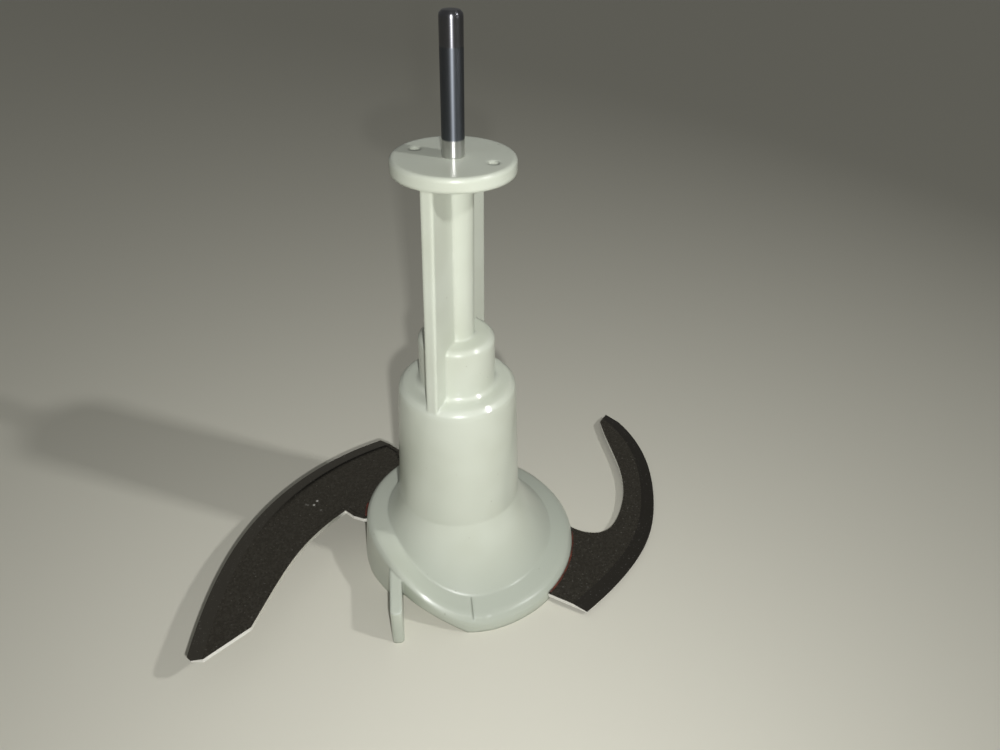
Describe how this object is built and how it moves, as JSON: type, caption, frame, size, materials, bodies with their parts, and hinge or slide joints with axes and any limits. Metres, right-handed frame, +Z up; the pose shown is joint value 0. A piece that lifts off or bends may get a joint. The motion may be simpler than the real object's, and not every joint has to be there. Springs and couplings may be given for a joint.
{
  "type": "food processor chopping blade",
  "caption": "Chopping blade for a food processor: flared plastic hub on a ribbed stem, with curved steel knives at two levels and a steel centring pin on top.",
  "frame": {"origin": "on the drive axis, at the mouth of the socket, in the plane that the part stands on", "axes": "+Z up along the drive axis, -Y towards the viewer of the picture, +X towards the lower knife"},
  "size_m": [0.1279, 0.1127, 0.1493],
  "materials": {
    "hub_plastic": "glossy pale grey-white moulded plastic",
    "knife_steel": "dark satin steel with a ground bevel",
    "pin_steel": "polished steel"
  },
  "bodies": {
    "root": {"hub": "hub_plastic", "centre_pin": "pin_steel", "upper_knife": "knife_steel", "lower_knife": "knife_steel"}
  },
  "joints": []
}
